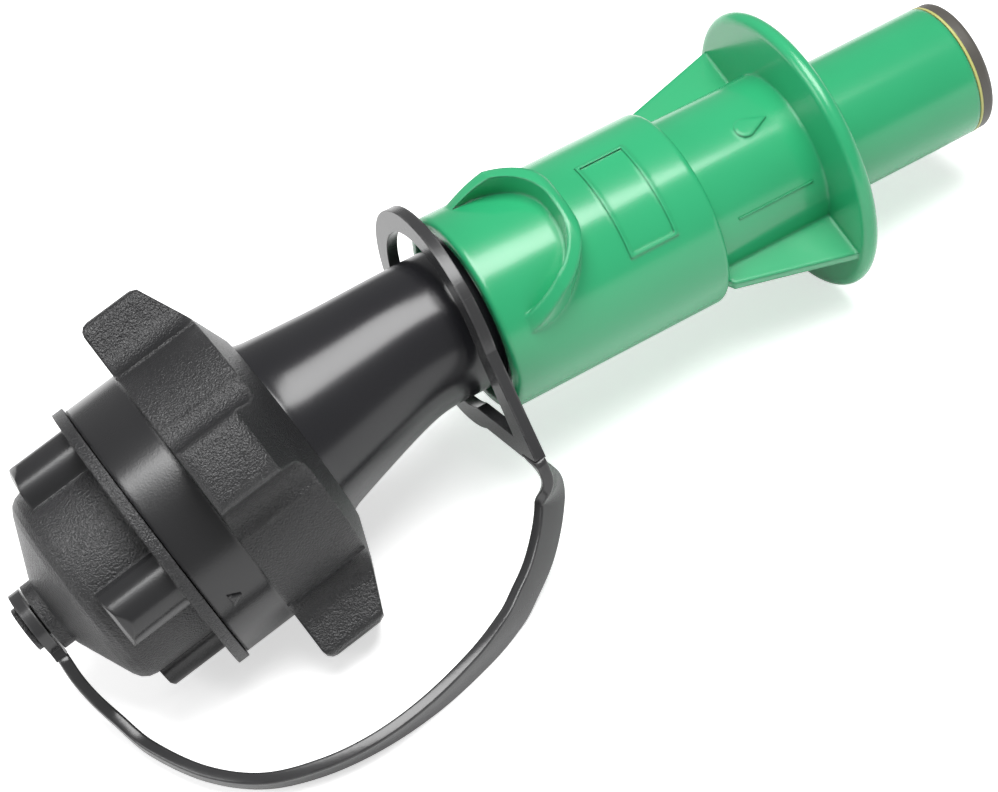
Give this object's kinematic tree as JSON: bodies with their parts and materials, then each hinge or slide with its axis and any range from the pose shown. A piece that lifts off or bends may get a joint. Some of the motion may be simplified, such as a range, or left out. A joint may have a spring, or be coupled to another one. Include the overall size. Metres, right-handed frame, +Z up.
{
  "type": "quick-fill pouring spout",
  "caption": "Bent screw-on pouring spout for a liquid canister, with a spring-closed sliding sleeve, flange stop, winged union nut and tethered storage cap.",
  "frame": {"origin": "where the sleeve's axis crosses the front face of the flange, the face that stops on the tank's filler neck", "axes": "+X towards the nose, level with the bench the part lies on; +Z up from that bench; the sleeve's axis dips 5.5 degrees below +X because the flange and two wings of the nut touch the bench"},
  "size_m": [0.1974, 0.0765, 0.0591],
  "materials": {
    "green_plastic": "semi-gloss moulded polyethylene",
    "black_gloss": "smooth, glossy",
    "black_grain": "fine spark-eroded grain, satin",
    "tether_plastic": "smooth, semi-gloss, flexible",
    "black_rubber": "matt",
    "yellow_seal": "satin",
    "spring_steel": "bright drawn wire"
  },
  "bodies": {
    "spout_core": {"neck": "black_gloss", "pouring_tube": "black_gloss", "valve_head": "black_grain", "face_seal": "yellow_seal", "air_tube": "black_gloss", "tube_spiders": "black_gloss", "stop_ring": "spring_steel", "return_spring": "spring_steel", "spring_seat": "spring_steel", "inlet_strainer": "spring_steel", "neck_gasket": "black_rubber", "tether_strap": "tether_plastic"},
    "sliding_sleeve": {"sleeve": "green_plastic", "guide_bush": "black_gloss", "wiper_seal": "black_rubber", "spring_washer": "spring_steel"},
    "tether_ring": {"tether_neck_ring": "tether_plastic"},
    "nut": {"union_nut": "black_grain"},
    "cap_carrier": {"tether_stud_ring": "tether_plastic"},
    "cap": {"storage_cap": "black_grain", "cap_gasket": "black_rubber"}
  },
  "joints": [
    {"name": "sleeve_slide", "type": "slide", "parent": "spout_core", "child": "sliding_sleeve", "axis": [-0.9955, 0, 0.0951], "range_m": [0, 0.01], "stiffness_N_per_m": 400, "springref_m": -0.01, "deforming": ["return_spring"]},
    {"name": "ring_follow", "type": "slide", "parent": "spout_core", "child": "tether_ring", "axis": [-0.9955, 0, 0.0951], "range_m": [0, 0.01], "deforming": ["tether_strap"]},
    {"name": "nut_turn", "type": "hinge", "parent": "spout_core", "child": "nut", "pos_m": [-0.08163, 0, 0.0078], "axis": [0.9913, 0, 0.1313], "continuous": true},
    {"name": "cap_lift", "type": "slide", "parent": "spout_core", "child": "cap_carrier", "axis": [-0.9913, 0, -0.1313], "range_m": [0, 0.018], "deforming": ["tether_strap"]},
    {"name": "cap_turn", "type": "hinge", "parent": "cap_carrier", "child": "cap", "pos_m": [-0.14111, 0, -0.00008], "axis": [-0.9913, 0, -0.1313], "range_deg": [0, 1620]}
  ],
  "couplings": [
    {"joint": "ring_follow", "follows": "sleeve_slide", "ratio": 1},
    {"joint": "cap_lift", "follows": "cap_turn", "m_per_rad": 0.00063662}
  ]
}
